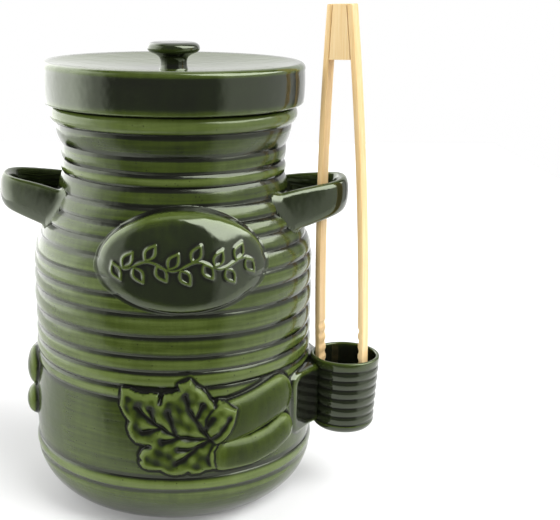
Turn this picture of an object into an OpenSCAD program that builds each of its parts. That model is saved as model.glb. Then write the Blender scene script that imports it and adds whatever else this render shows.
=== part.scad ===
// Ribbed stoneware fermentation crock with a lid, a side cup and wooden tongs.
// Millimetres, +Z up, origin at the centre of the foot, front towards -Y.
// Angles round the crock are counted from the front (-Y) towards the right (+X).

/* [Crock] */
// Height of the rim that the lid rests on
crock_h = 296; // [280:1:310]
// Diameter of the belly over its ribs
belly_d = 195; // [185:1:205]
// Diameter of the smooth band at its lower edge
band_d = 199; // [196:1:204]
// Diameter of the neck over its ribs
neck_d = 153.5; // [148:0.5:160]
// Thickness of the wall and of the floor
wall = 7.5; // [6:0.5:9]
// Diameter of the flat foot
foot_d = 117; // [105:1:125]
// Radius of the rounded heel
heel_r = 41; // [36:1:42]

/* [Crock heights] */
// Height of the single groove on the heel
heel_groove_z = 35; // [32:0.5:36]
// Height of the lower edge of the smooth band
band_z = 44; // [42:0.5:47]
// Height of the smooth band
band_h = 53; // [48:1:56]
// Height of the shoulder, from the belly to the neck
shoulder_h = 65; // [60:1:70]
// Height of the neck below the middle of the flange
neck_h = 36; // [32:1:40]
// Height of the part of the neck that flares out
flare_h = 23; // [18:1:26]

/* [Ribs] */
// Depth of the grooves between the ribs
rib_depth = 1.2; // [0.8:0.1:1.6]
// Widths of the thrown ribs from the band up to the flange, in proportion
rib_widths = [8.5, 10.5, 10, 13, 14.5, 12, 11, 11.5, 10, 10, 10.5, 11.5, 8.5, 11, 14.5]; // [6:0.5:18]

/* [Rim] */
// Diameter of the rolled flange below the lid
flange_d = 168.6; // [164:0.2:171]
// Radius of the roll of the flange
flange_round = 6.5; // [5.5:0.5:7]
// Clearance between the collar and the lid's skirt, which covers it
collar_gap = 3.5; // [2.5:0.5:5]
// Height of the collar above the middle of the flange
collar_h = 26; // [24:1:30]
// Rounding of the rim's edges
rim_round = 2; // [1:0.5:3]

/* [Lid] */
// Diameter of the lid
lid_d = 178; // [176:0.5:184]
// Height of the lid's edge
lid_h = 27.5; // [26:0.5:28]
// Thickness of the lid's plate at the rim
lid_plate = 8; // [7:0.5:10]
// Thickness of the lid's skirt
lid_skirt = 5; // [4:0.5:5.5]
// Depth of the dish in the lid's top
lid_dish = 6; // [4:0.5:7]
// Rounding of the lid's upper edge
lid_round = 4; // [3:0.5:5]
// Rounding of the lid's lower edge
lid_low_round = 1.5; // [1:0.5:2]
// Clearance between the lid's plug and the mouth
lid_clearance = 1.5; // [1:0.5:3]

/* [Knob] */
// Diameter of the knob's cap
knob_d = 35.6; // [30:0.2:40]
// Height of the knob above the dish
knob_h = 18.2; // [16:0.2:22]
// Thickness of the cap's rounded edge
knob_edge = 6; // [5:0.5:7]
// Diameter of the knob's stem
knob_stem_d = 18.4; // [14:0.2:22]
// Height of the cone under the cap
knob_cone_h = 3.8; // [3:0.2:5]
// Height of the flat pad that the knob stands on
knob_pad_h = 0.3; // [0.3:0.1:1]
// Width of the pad's edge that shows round the stem
knob_pad_edge = 1; // [0.5:0.5:2]

/* [Handles] */
// How far the handles' outer ends stay inside the middle of the tong cup
handle_inset = 2.6; // [1.5:0.1:3.5]
// Height of the handle's strap
strap_h = 22; // [18:0.5:24]
// Thickness of the handle's strap
strap_t = 8.5; // [7:0.5:9.5]
// Bend radius at the corners of the loop, at the middle of the strap
strap_bend = 18; // [16:0.5:20]
// Length of the straight outer end of the loop
strap_end = 8; // [5:1:12]
// Angle by which each leg spreads towards the crock
strap_spread = 22; // [18:1:26]
// Height of the middle of the strap at its roots above the foot of the shoulder
handle_up = 38; // [35:1:42]
// Angle by which the loop rises to its outer end
handle_rise = 12.5; // [8:0.5:15]
// Angle by which the pair of handles is turned towards the front on the right
handle_turn = 4.5; // [0:0.5:8]

/* [Plaque] */
// Width of the oval plaque
plaque_w = 110; // [90:1:116]
// Height of the oval plaque
plaque_h = 61; // [50:1:64]
// Height of the plaque's middle above the foot of the shoulder
plaque_up = 18; // [14:1:23]
// Angle of the plaque from the front
plaque_angle = 4; // [-5:1:12]
// Radius of the plaque's domed face
plaque_dome = 75; // [72:1:80]
// How far the domed face stands out from the belly
plaque_proud = 4.5; // [3.5:0.5:6]
// Drop of the dome's middle below the plaque's middle
plaque_drop = 12; // [8:1:16]

/* [Leaf and cucumbers] */
// Thickness of the leaf
leaf_t = 3; // [2:0.5:4]
// Width of the veins cut into the leaf
vein_w = 1.6; // [1:0.2:2.4]
// Depth of the veins
vein_depth = 1; // [0.5:0.1:1.5]
// Width of the leaf
leaf_w = 70.5; // [62:0.5:74]
// Height of the point where the veins meet above the lower edge of the band
leaf_up = 27; // [24:1:30]
// Distance of that point to the right of the leaf's middle
leaf_side = 22.5; // [20:0.5:25]
// Angle of the leaf's middle from the front
leaf_angle = 0; // [-5:1:5]
// Angle by which the second group is turned round the crock
rear_turn = -129; // [-140:1:-115]
// How far the cucumbers stand out from the band
cucumber_proud = 7; // [5:0.5:8]
// Radius of the upper cucumber
upper_cucumber_r = 16; // [14:0.5:17]
// Radius of the lower cucumber
lower_cucumber_r = 14; // [12:0.5:15]
// Heights of the upper cucumber's two ends above the lower edge of the band
upper_cucumber_z = [37, 47]; // [33:1:50]
// Heights of the lower cucumber's two ends above the lower edge of the band
lower_cucumber_z = [17, 20]; // [14:1:23]

/* [Tong cup] */
// Room between the span of the tongs and the cup's wall near its bottom
cup_room = 1.3; // [1.2:0.1:3]
// How far the cup's rim stands out past its bottom
cup_flare = 2.3; // [1.5:0.1:4]
// Height of the cup
cup_h = 54; // [48:1:58]
// Height of the cup's underside above the lower edge of the band
cup_up = 4; // [2:1:8]
// Thickness of the cup's wall
cup_wall = 2.7; // [2.4:0.1:3]
// Thickness of the cup's floor
cup_floor = 6; // [5:0.5:8]
// Rounding of the cup's bottom edge
cup_bottom_round = 7; // [5:0.5:8]
// Height of the plain lip above the cup's ribs
cup_lip = 6.5; // [5:0.5:8]
// Number of ribs round the cup
cup_ribs = 6; // [5:1:8]
// Depth of the grooves round the cup
cup_rib_depth = 0.8; // [0.4:0.1:1]
// Angle of the cup from the front
cup_angle = 80; // [76:1:84]
// Gap between the cup and the belly, which the saddle fills
cup_gap = 0.8; // [0.5:0.1:2]
// Width of the saddle that joins the cup to the crock
saddle_w = 86; // [76:1:90]
// Width of the saddle where it begins to swell towards the cup
saddle_swell_w = 46; // [42:0.5:50]
// Width of the saddle where the cup's sides meet it
saddle_neck_w = 32; // [30:0.5:34]
// How far the saddle reaches from the belly round the sides of the cup
saddle_reach = 8; // [6:0.5:10]
// Thickness of the saddle at its ends
saddle_edge = 3; // [2:0.5:4]
// Rounding of the saddle's corners
saddle_round = 9; // [6:1:12]

/* [Tongs] */
// Length of the tongs
tongs_l = 287.5; // [275:0.5:295]
// Width of the arms
arm_w = 11; // [9:0.5:12]
// Thickness of the arms
arm_t = 3.9; // [3.4:0.1:4.4]
// Distance between the outer faces of the arms where they are widest
tongs_span = 36; // [33:0.2:37]
// Height of the widest place above the tips
tongs_widest = 69; // [60:1:90]
// Bow radius of the arms' outer faces
arm_bow = 2590; // [2400:10:2800]
// Length of the wedge that the arms are glued to
wedge_l = 35.5; // [30:0.5:40]
// Glue line between the wedge and each arm
glue_gap = 0.2; // [0.1:0.05:0.3]
// Turn of the tongs about their own axis
tongs_turn = 30; // [25:1:35]
// Lean of the tongs towards the crock
tongs_lean = 1.95; // [1.5:0.05:2.4]
// How far the middle of the tips stands from the middle of the cup, towards the crock
tip_shift = 0.9; // [0.5:0.1:1]
// Gap between the lower tip and the cup's floor
tip_gap = 0.3; // [0.2:0.1:0.6]
// Number of grip notches along the inside of each arm, from its tip
grip_notches = 9; // [6:1:10]
// Distance between grip notches
grip_pitch = 7.4; // [6:0.2:8]
// Depth of the grip notches
grip_depth = 0.8; // [0.4:0.1:1]

/* [Weights] */
// Gap between the weights' edge and the edge of the flat floor
weight_clearance = 2; // [1:0.5:10]
// Thickness of the weights
weight_t = 18; // [12:1:24]
// Diameter of the finger hole between the weights
finger_d = 32; // [26:1:40]
// Gap between the two weights
weight_gap = 2; // [1:0.5:4]

/* [Hidden] */

$fn = 96;
// Sides of the turned shapes that thin pieces on the wall are cut with
turned_sides = 288;
glaze = "#3f5631";
bamboo = "#e8cf9a";
biscuit = "#b9a184";
// Room that a cutting shape reaches past what it cuts
over = 20;
// Length by which a rib runs on under its neighbours
rib_run_on = 1;

belly_r = belly_d / 2;
band_r = band_d / 2;
neck_r = neck_d / 2;
foot_r = foot_d / 2;
// The lid's skirt fits over the collar
collar_d = lid_d - 2 * (lid_skirt + collar_gap);
collar_r = collar_d / 2;
mouth_r = collar_r - wall;
flange_z = crock_h - collar_h;
flare_z = flange_z - flare_h;
neck_z = flange_z - neck_h;
shoulder_z = neck_z - shoulder_h;
band_top = band_z + band_h;
handle_z = shoulder_z + handle_up;
plaque_z = shoulder_z + plaque_up;
cup_z = band_z + cup_up;
// The tongs stand inside the cup
cup_low_d = tongs_span + 2 * (cup_room + cup_wall);
cup_d = cup_low_d + 2 * cup_flare;
cup_r = cup_d / 2;
cup_low_r = cup_low_d / 2;
// Lowest point of the flange's roll, where the ribs end
rib_top = flange_z - flange_round + rib_depth / 2;
// Radius that the flare aims for at the middle of the flange
flare_r = flange_d / 2 - rib_depth;

function smooth(t) = t * t * (3 - 2 * t);
function along(a, b, t) = a + (b - a) * t;
function total(list, n) = n == 0 ? 0 : list[n - 1] + total(list, n - 1);

// Radius over the ribs at a height
function crest_r(z) =
    z < band_z ? band_r
    : z < band_top ? along(band_r, belly_r, (z - band_z) / band_h)
    : z < shoulder_z ? belly_r
    : z < neck_z ? along(belly_r, neck_r, smooth((z - shoulder_z) / shoulder_h))
    : z < flare_z ? neck_r
    : along(neck_r, flare_r, (z - flare_z) / flare_h);

// The cup clears the belly with its rim and the band with its bottom
cup_x = max(belly_r + cup_r, crest_r(cup_z) + cup_low_r) + cup_gap;
handle_reach = cup_x - handle_inset;

rib_count = len(rib_widths);
rib_scale = (rib_top - band_top) / total(rib_widths, rib_count);
groove_z = concat([heel_groove_z, band_z],
    [for (i = [0 : rib_count]) band_top + rib_scale * total(rib_widths, i)]);
grooves = [for (z = groove_z) [crest_r(z) - rib_depth, z]];

// One rib: the part between two groove points of the circle that bulges out there by depth
module rib(low, high, depth) {
    chord = norm(high - low);
    r = (chord * chord / 4 + depth * depth) / (2 * depth);
    outward = [high[1] - low[1], low[0] - high[0]] / chord;
    inside = min(low[0], high[0]) - 3 * depth;
    intersection() {
        translate((low + high) / 2 - outward * (r - depth))
            circle(r, $fn = max(96, ceil(r) * 4));
        translate([inside, low[1] - rib_run_on])
            square([max(low[0], high[0]), high[1] - low[1] + 2 * rib_run_on]);
    }
}

module ribs(points, depth) {
    for (i = [0 : len(points) - 2])
        rib(points[i], points[i + 1], depth);
}

// A rectangle from the axis out to r whose outer upper corner is rounded
module rounded_step(r, z0, z1, round) {
    translate([0, z0])
        square([r, z1 - z0 - round]);
    translate([0, z0])
        square([r - round, z1 - z0]);
    translate([r - round, z1 - round])
        circle(round);
}

// Half section of the crock without its hollow
module crock_outline() {
    // Kept just inside the grooves, so that the ribs alone shape the surface
    core = [for (p = grooves) [p[0] - rib_depth, p[1]]];
    polygon(concat([[0, 0], [foot_r, 0], [foot_r, heel_groove_z]], core,
        [[core[len(core) - 1][0], flange_z], [0, flange_z]]));
    intersection() {
        translate([foot_r, heel_r])
            circle(heel_r);
        square([band_r, heel_groove_z]);
    }
    // Carries a band that is wider than the heel
    polygon([[foot_r, heel_groove_z], [foot_r + heel_r * sin(45), heel_r - heel_r * cos(45)], grooves[0]]);
    ribs(grooves, rib_depth);
    translate([flange_d / 2 - flange_round, flange_z])
        circle(flange_round);
    rounded_step(collar_r, flange_z, crock_h, rim_round);
}

// Half section of the hollow
module crock_hollow() {
    shoulder_steps = 10;
    inside = [for (i = [0 : shoulder_steps])
        let (z = shoulder_z + shoulder_h * i / shoulder_steps)
        [crest_r(z) - wall, z]];
    heel_wall = heel_r - wall;
    translate([0, wall])
        square([foot_r, heel_r]);
    intersection() {
        translate([foot_r, heel_r])
            circle(heel_wall);
        square([band_r - wall, heel_r]);
    }
    polygon(concat([[0, heel_r], [min(foot_r + heel_wall, band_r - wall), heel_r]],
        [[belly_r - wall, band_top]],
        inside,
        [[neck_r - wall, flare_z], [mouth_r, flange_z], [mouth_r, crock_h - rim_round],
         [mouth_r + rim_round, crock_h], [mouth_r + rim_round, crock_h + over],
         [0, crock_h + over]]));
}

module crock_solid() {
    rotate_extrude($fn = turned_sides)
        crock_outline();
}

module crock_body() {
    color(glaze)
        rotate_extrude()
            difference() {
                crock_outline();
                crock_hollow();
            }
}

// Turns a piece drawn towards -Y to its angle round the crock
module at_angle(a) {
    rotate([0, 0, a])
        children();
}

// Points of an arc about a centre
function arc(centre, r, from, to, steps) =
    [for (i = [0 : steps]) let (a = along(from, to, i / steps)) centre + r * [cos(a), sin(a)]];

// Plan of the handle's loop, along +X, with legs long enough to run into the crock
module loop_plan() {
    bend_steps = 10;
    leg = handle_reach - neck_r + 2 * wall;
    bend = [handle_reach - strap_t / 2 - strap_bend, strap_end / 2];
    leg_end = leg * [-cos(strap_spread), sin(strap_spread)];
    outer = arc(bend, strap_bend + strap_t / 2, 0, 90 - strap_spread, bend_steps);
    inner = arc(bend, strap_bend - strap_t / 2, 90 - strap_spread, 0, bend_steps);
    half = concat(outer, [outer[bend_steps] + leg_end, inner[0] + leg_end], inner);
    polygon(concat(half, [for (i = [len(half) - 1 : -1 : 0]) [half[i][0], -half[i][1]]]));
}

// Lifts a loop to its height and lets it climb outwards from the neck, with its faces still upright
rise_from_neck = [[1, 0, 0, 0], [0, 1, 0, 0],
    [tan(handle_rise), 0, 1, handle_z - strap_h / 2 - neck_r * tan(handle_rise)]];

// A handle drawn along +X
module handle(turn) {
    color(glaze)
        difference() {
            rotate([0, 0, turn])
                multmatrix(rise_from_neck)
                    linear_extrude(strap_h)
                        loop_plan();
            crock_solid();
        }
}

module right_handle() {
    handle(-handle_turn);
}

module left_handle() {
    handle(180 - handle_turn);
}

module oval_plaque() {
    sides = 48;
    oval = [for (i = [0 : sides - 1])
        [plaque_w / 2 * cos(360 * i / sides), plaque_h / 2 * sin(360 * i / sides)]];
    color(glaze)
        at_angle(plaque_angle)
            difference() {
                intersection() {
                    translate([0, 0, plaque_z])
                        rotate([90, 0, 0])
                            linear_extrude(belly_d)
                                polygon(oval);
                    translate([0, plaque_dome - belly_r - plaque_proud, plaque_z - plaque_drop])
                        sphere(plaque_dome, $fn = 180);
                }
                crock_solid();
            }
}

// The leaf's outline about the point where its veins meet, in width and height
leaf_hub = [leaf_side, band_z + leaf_up];
leaf_shape = [[12, 0], [9, 7], [13.5, 16], [11.5, 23], [2.5, 24], [-1, 32], [-5, 34], [-8, 39],
    [-14, 41], [-20, 38], [-22.5, 34], [-30, 29], [-38, 32.5], [-49, 32], [-56.5, 36],
    [-57, 23], [-51.5, 11], [-54, 7], [-50, -1], [-38, -3.5], [-43, -9], [-45.5, -15],
    [-43, -20], [-31, -22], [-19, -22.5], [-7, -22], [5, -20], [2.5, -13], [4, -3]];
leaf_across = [for (p = leaf_shape) p[0]];
leaf_unit = leaf_w / (max(leaf_across) - min(leaf_across));
leaf_edge = leaf_unit * leaf_shape;
// The veins, from their start to their end
leaf_veins = leaf_unit * [[[0, 0], [-14, 36]], [[0, 0], [-30, 10]], [[-30, 10], [-50, 29]],
    [[-2, -2], [-24, -7]], [[-24, -7], [-38, -16]], [[0, 0], [9, 18]], [[-16, 5], [-28, -4]]];

// Sets a drawing in width and height upright, to cut or stand through the front
module upright(depth) {
    rotate([90, 0, 0])
        linear_extrude(depth)
            translate(leaf_hub)
                children();
}

module vein(from, to) {
    run = to - from;
    translate(from)
        rotate(atan2(run[1], run[0]))
            translate([-vein_w / 2, -vein_w / 2])
                square([norm(run) + vein_w, vein_w]);
}

// The band's surface grown outwards by some thickness, around the leaf
module band_shell(grow) {
    low = [band_r - rib_depth + grow, band_z];
    high = [belly_r - rib_depth + grow, band_top + over];
    rotate_extrude($fn = turned_sides) {
        translate([0, low[1]])
            square([high[0] - rib_depth, high[1] - low[1]]);
        rib(low, high, rib_depth);
    }
}

module leaf(turn) {
    color(glaze)
        at_angle(leaf_angle + turn)
            difference() {
                intersection() {
                    band_shell(leaf_t);
                    upright(belly_d)
                        polygon(leaf_edge);
                }
                crock_solid();
                difference() {
                    upright(belly_d)
                        for (v = leaf_veins)
                            vein(v[0], v[1]);
                    band_shell(leaf_t - vein_depth);
                }
            }
}

module front_leaf() {
    leaf(0);
}

module rear_leaf() {
    leaf(rear_turn);
}

// Angles from the leaf's middle, and heights above the band's lower edge, of the ends of each axis
upper_ends = [[22, upper_cucumber_z[0]], [44.5, upper_cucumber_z[1]]];
lower_ends = [[20, lower_cucumber_z[0]], [45.5, lower_cucumber_z[1]]];

// A round-ended cucumber that lies against the band, before the crock and the leaf cut it
module cucumber_shape(ends, r) {
    run = ends[1] - ends[0];
    middle = (ends[0] + ends[1]) / 2;
    axis_z = band_z + middle[1];
    axis_r = crest_r(axis_z) + cucumber_proud - r;
    width = 2 * axis_r * sin(run[0] / 2);
    half = norm([width, run[1]]) / 2;
    at_angle(middle[0])
        translate([0, -axis_r, axis_z])
            rotate([0, 90 - atan2(run[1], width), 0])
                rotate_extrude()
                    intersection() {
                        union() {
                            translate([0, -half])
                                square([r, 2 * half]);
                            for (end = [-half, half])
                                translate([0, end])
                                    circle(r);
                        }
                        translate([0, -half - r])
                            square([r, 2 * (half + r)]);
                    }
}

module upper_cucumber(turn) {
    color(glaze)
        at_angle(leaf_angle + turn)
            difference() {
                cucumber_shape(upper_ends, upper_cucumber_r);
                crock_solid();
                upright(belly_d)
                    polygon(leaf_edge);
            }
}

module lower_cucumber(turn) {
    color(glaze)
        at_angle(leaf_angle + turn)
            difference() {
                cucumber_shape(lower_ends, lower_cucumber_r);
                crock_solid();
                cucumber_shape(upper_ends, upper_cucumber_r);
                upright(belly_d)
                    polygon(leaf_edge);
            }
}

module front_upper_cucumber() {
    upper_cucumber(0);
}

module front_lower_cucumber() {
    lower_cucumber(0);
}

module rear_upper_cucumber() {
    upper_cucumber(rear_turn);
}

module rear_lower_cucumber() {
    lower_cucumber(rear_turn);
}

// Half section of the cup without its hollow
module cup_outline() {
    low = [cup_low_r - cup_rib_depth, cup_bottom_round];
    high = [cup_r - cup_rib_depth, cup_h - cup_lip];
    points = [for (i = [0 : cup_ribs]) along(low, high, i / cup_ribs)];
    polygon([[0, 0], [cup_low_r - cup_bottom_round, 0], low - [cup_rib_depth, 0],
        high - [cup_rib_depth, 0], [high[0] - cup_rib_depth, cup_h - cup_lip], [0, cup_h - cup_lip]]);
    translate([cup_low_r - cup_bottom_round, cup_bottom_round])
        intersection() {
            circle(cup_bottom_round);
            translate([0, -cup_bottom_round])
                square(cup_bottom_round);
        }
    ribs(points, cup_rib_depth);
    rounded_step(cup_r, cup_h - cup_lip, cup_h, cup_wall / 2);
}

module at_cup() {
    at_angle(cup_angle)
        translate([0, -cup_x, cup_z])
            children();
}

module tong_cup() {
    color(glaze)
        at_cup()
            rotate_extrude()
                difference() {
                    cup_outline();
                    polygon([[0, cup_floor], [cup_low_r - cup_wall, cup_floor],
                        [cup_r - cup_wall, cup_h], [cup_r - cup_wall, cup_h + over],
                        [0, cup_h + over]]);
                }
}

module tong_cup_saddle() {
    half = saddle_w / 2;
    saddle_r = cup_x - cup_gap - cup_r;
    root_y = sqrt(saddle_r * saddle_r - half * half);
    // The saddle's plan, from its thin ends to the sides of the cup
    right = [[half, over - root_y], [half, -root_y - saddle_edge],
        [saddle_swell_w / 2, -saddle_r - saddle_edge], [saddle_neck_w / 2, -saddle_r - saddle_reach]];
    plan = concat(right, [for (i = [len(right) - 1 : -1 : 0]) [-right[i][0], right[i][1]]]);
    low = cup_z + cup_bottom_round;
    high = cup_z + cup_h - cup_lip / 2;
    color(glaze)
        difference() {
            at_angle(cup_angle)
                intersection() {
                    translate([0, 0, low])
                        linear_extrude(high - low)
                            polygon(plan);
                    rotate([90, 0, 0])
                        linear_extrude(cup_x) {
                            translate([-half, low + saddle_round])
                                square([saddle_w, high - low - 2 * saddle_round]);
                            translate([-half + saddle_round, low])
                                square([saddle_w - 2 * saddle_round, high - low]);
                            for (x = [-1, 1], z = [low + saddle_round, high - saddle_round])
                                translate([x * (half - saddle_round), z])
                                    circle(saddle_round);
                        }
                }
            crock_solid();
            at_cup()
                rotate_extrude()
                    cup_outline();
        }
}

lid_r = lid_d / 2;
lid_top = crock_h + lid_plate;
lid_low = lid_top - lid_h;
dish_r = lid_r - lid_round;
dish_curve = (dish_r * dish_r + lid_dish * lid_dish) / (2 * lid_dish);
dish_z = lid_top - lid_dish;
knob_seat_z = dish_z + knob_pad_h;
plug_r = mouth_r - lid_clearance;

// A circle so large that only a shallow arc of it is used
module shallow_circle(r) {
    circle(r, $fn = 1440);
}

module lid() {
    color(glaze)
        rotate_extrude() {
            difference() {
                union() {
                    rounded_step(lid_r, lid_low + lid_low_round, lid_top, lid_round);
                    translate([0, lid_low])
                        square([lid_r - lid_low_round, lid_low_round]);
                    translate([lid_r - lid_low_round, lid_low + lid_low_round])
                        circle(lid_low_round);
                }
                translate([0, dish_z + dish_curve])
                    shallow_circle(dish_curve);
                // Hollow under the plate, with the plate's middle left dished too
                difference() {
                    translate([0, lid_low - over])
                        square([lid_r - lid_skirt, crock_h - lid_low + over]);
                    intersection() {
                        translate([0, dish_z + dish_curve])
                            shallow_circle(dish_curve + lid_plate);
                        translate([0, lid_low])
                            square([plug_r, lid_h]);
                    }
                }
            }
            translate([0, dish_z - lid_plate / 2])
                square([knob_stem_d / 2 + knob_pad_edge, lid_plate / 2 + knob_pad_h]);
        }
}

module lid_knob() {
    top = dish_z + knob_h;
    edge_r = knob_edge / 2;
    cap_low = top - knob_edge;
    cone_low = cap_low + edge_r - knob_cone_h;
    rim_r = knob_d / 2 - edge_r;
    color(glaze)
        rotate_extrude() {
            translate([0, knob_seat_z])
                square([knob_stem_d / 2, cap_low - knob_seat_z + edge_r]);
            polygon([[0, cone_low], [knob_stem_d / 2, cone_low], [rim_r, cap_low], [rim_r, top], [0, top]]);
            translate([rim_r, cap_low + edge_r])
                circle(edge_r);
        }
}

wedge_low = tongs_l - wedge_l;
// Distance of an arm's outer face from the middle of the tongs, at a height above the tips
function bow(z) = tongs_span / 2 - pow(z - tongs_widest, 2) / (2 * arm_bow);
tip_half_span = bow(0);
// Lowest corner of the leaning tips stays clear of the cup's floor
tip_z = cup_z + cup_floor + tip_gap + tip_half_span * sin(tongs_lean) + arm_w / 2 * sin(tongs_lean);

// Points along the bowed face of the right arm, set in by a distance, from one height to another
function bow_points(inset, from, to, steps) =
    [for (i = [0 : steps]) let (z = along(from, to, i / steps)) [bow(z) - inset, z]];

// Places a drawing of the tongs, x across and z up from the tips, in the cup
module at_tongs() {
    translate([cup_x * sin(cup_angle) - tip_shift, -cup_x * cos(cup_angle), tip_z])
        rotate([0, -tongs_lean, 0])
            rotate([0, 0, -tongs_turn])
                rotate([90, 0, 0])
                    translate([0, 0, -arm_w / 2])
                        linear_extrude(arm_w)
                            children();
}

// Outline of the right arm
module arm_outline() {
    arm_steps = 16;
    difference() {
        polygon(concat(bow_points(0, 0, tongs_l, arm_steps), bow_points(arm_t, tongs_l, 0, arm_steps)));
        for (i = [1 : grip_notches])
            translate([bow(i * grip_pitch) - arm_t - grip_pitch / 2 + grip_depth, i * grip_pitch])
                circle(grip_pitch / 2);
    }
}

module tongs_right_arm() {
    color(bamboo)
        at_tongs()
            arm_outline();
}

module tongs_left_arm() {
    color(bamboo)
        at_tongs()
            mirror([1, 0])
                arm_outline();
}

module tongs_wedge() {
    wedge_steps = 4;
    right = bow_points(arm_t + glue_gap, wedge_low, tongs_l, wedge_steps);
    color(bamboo)
        at_tongs()
            polygon(concat(right, [for (i = [wedge_steps : -1 : 0]) [-right[i][0], right[i][1]]]));
}

module weight() {
    r = foot_r - weight_clearance;
    color(biscuit)
        translate([0, 0, wall])
            linear_extrude(weight_t)
                difference() {
                    circle(r);
                    translate([-2 * r, -2 * r])
                        square([2 * r + weight_gap / 2, 4 * r]);
                    circle(finger_d / 2);
                }
}

module right_weight() {
    weight();
}

module left_weight() {
    mirror([1, 0, 0])
        weight();
}

crock_body();
left_handle();
right_handle();
oval_plaque();
front_leaf();
front_upper_cucumber();
front_lower_cucumber();
rear_leaf();
rear_upper_cucumber();
rear_lower_cucumber();
tong_cup();
tong_cup_saddle();
lid();
lid_knob();
tongs_wedge();
tongs_left_arm();
tongs_right_arm();
left_weight();
right_weight();
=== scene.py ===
"""The looks of a ribbed, green-glazed fermentation crock with a lid, a side cup and wooden tongs.

Sizes are in millimetres and become metres when a mesh is made. Azimuths are in degrees, counted round the
crock from the front (-Y) towards the right (+X).
"""
import math

import bpy
import numpy as np
from mathutils import Matrix, Vector


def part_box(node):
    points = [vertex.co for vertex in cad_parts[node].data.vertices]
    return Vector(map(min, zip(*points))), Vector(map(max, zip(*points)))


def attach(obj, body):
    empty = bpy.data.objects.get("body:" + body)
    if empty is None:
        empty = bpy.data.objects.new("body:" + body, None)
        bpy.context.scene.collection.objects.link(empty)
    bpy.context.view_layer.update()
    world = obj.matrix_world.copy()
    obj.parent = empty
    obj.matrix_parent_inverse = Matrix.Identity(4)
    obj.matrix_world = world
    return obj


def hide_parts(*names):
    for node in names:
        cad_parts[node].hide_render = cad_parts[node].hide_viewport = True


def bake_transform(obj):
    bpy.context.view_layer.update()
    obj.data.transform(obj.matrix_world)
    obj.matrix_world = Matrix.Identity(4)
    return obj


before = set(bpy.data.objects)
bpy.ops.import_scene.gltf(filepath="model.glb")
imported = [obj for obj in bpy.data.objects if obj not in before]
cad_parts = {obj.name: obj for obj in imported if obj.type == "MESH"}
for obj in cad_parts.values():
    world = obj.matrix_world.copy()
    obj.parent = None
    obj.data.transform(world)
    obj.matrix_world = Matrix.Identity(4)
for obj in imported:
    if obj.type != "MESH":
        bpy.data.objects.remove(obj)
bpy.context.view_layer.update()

MM = 0.001


def node_box(node):
    """Lowest and highest corner of a CAD node, in millimetres."""
    low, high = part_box(node)
    return np.array(low) / MM, np.array(high) / MM


# Driving sizes of the crock
CROCK_H = node_box("crock_body")[1][2]
BELLY_R, BAND_R, NECK_R = 97.5, 99.5, 76.75
WALL, HEEL_R = 7.5, 41.0
FOOT_R = BAND_R - HEEL_R
HEEL_GROOVE_Z, HEEL_GROOVE_W, HEEL_GROOVE_DEPTH = 35.0, 1.6, 0.8
BAND_Z, BAND_TOP = 44.0, 97.0
COLLAR_R, COLLAR_H, RIM_ROUND = 80.5, 26.0, 2.0
FLANGE_R, FLANGE_ROUND = 84.3, 6.5
FLANGE_Z = CROCK_H - COLLAR_H
FLARE_H, NECK_H, SHOULDER_H = 23.0, 36.0, 65.0
FLARE_Z, NECK_Z = FLANGE_Z - FLARE_H, FLANGE_Z - NECK_H
SHOULDER_Z = NECK_Z - SHOULDER_H
RIB_DEPTH, RIB_FULLNESS = 1.2, 2.4
RIB_TOP = FLANGE_Z - FLANGE_ROUND + RIB_DEPTH / 2
RIB_WIDTHS = [8.5, 10.5, 10, 13, 14.5, 12, 11, 11.5, 10, 10, 10.5, 11.5, 8.5, 11, 14.5]

# Columns of quads round the large and the small turned pieces
TURNED_COLUMNS, SMALL_COLUMNS = 240, 96


# Numbers and fields

def joined(parts):
    return np.concatenate([np.asarray(p, float) for p in parts])


def unit(vectors):
    return vectors / np.maximum(np.hypot(*vectors.T), 1e-9)[:, None]


def on_line(places, run, line):
    """Points of a broken line at places along it, where run has the places of its own points."""
    return np.stack([np.interp(places, run, line[:, k]) for k in (0, 1)], 1)


def quarter_round(t):
    """Rises from 0 to 1 in a quarter of a circle, steep at first."""
    return np.sqrt(1 - (1 - np.clip(t, 0, 1)) ** 2)


def smooth(t):
    t = np.clip(t, 0, 1)
    return t * t * (3 - 2 * t)


def smooth_max(a, b, k):
    """The larger of two heights, with a fillet of about k where they cross."""
    h = np.maximum(k - np.abs(a - b), 0) / k
    return np.maximum(a, b) + h * h * k / 4


def blurred(field, cells):
    """A field averaged over about the given number of cells, with a bell-shaped weight."""
    reach = int(3 * cells) + 1
    weight = np.exp(-0.5 * (np.arange(-reach, reach + 1) / cells) ** 2)
    weight /= weight.sum()
    for axis in (0, 1):
        padded = np.pad(field, [(reach, reach) if i == axis else (0, 0) for i in (0, 1)], mode="edge")
        field = np.apply_along_axis(np.convolve, axis, padded, weight, "valid")
    return field


def to_segments(points, x, y):
    """Distance from each place (x, y) to a broken line."""
    best = np.full(np.shape(x), np.inf)
    for (ax, ay), (bx, by) in zip(points[:-1], points[1:]):
        dx, dy = bx - ax, by - ay
        t = np.clip(((x - ax) * dx + (y - ay) * dy) / (dx * dx + dy * dy + 1e-9), 0, 1)
        best = np.minimum(best, np.hypot(x - ax - t * dx, y - ay - t * dy))
    return best


def inside_outline(points, x, y):
    """True for each place (x, y) within a closed outline."""
    inside = np.zeros(np.shape(x), bool)
    for (ax, ay), (bx, by) in zip(points, points[1:] + points[:1]):
        crosses = (ay > y) != (by > y)
        with np.errstate(divide="ignore", invalid="ignore"):
            inside ^= crosses & (x < (bx - ax) * (y - ay) / (by - ay) + ax)
    return inside


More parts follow.
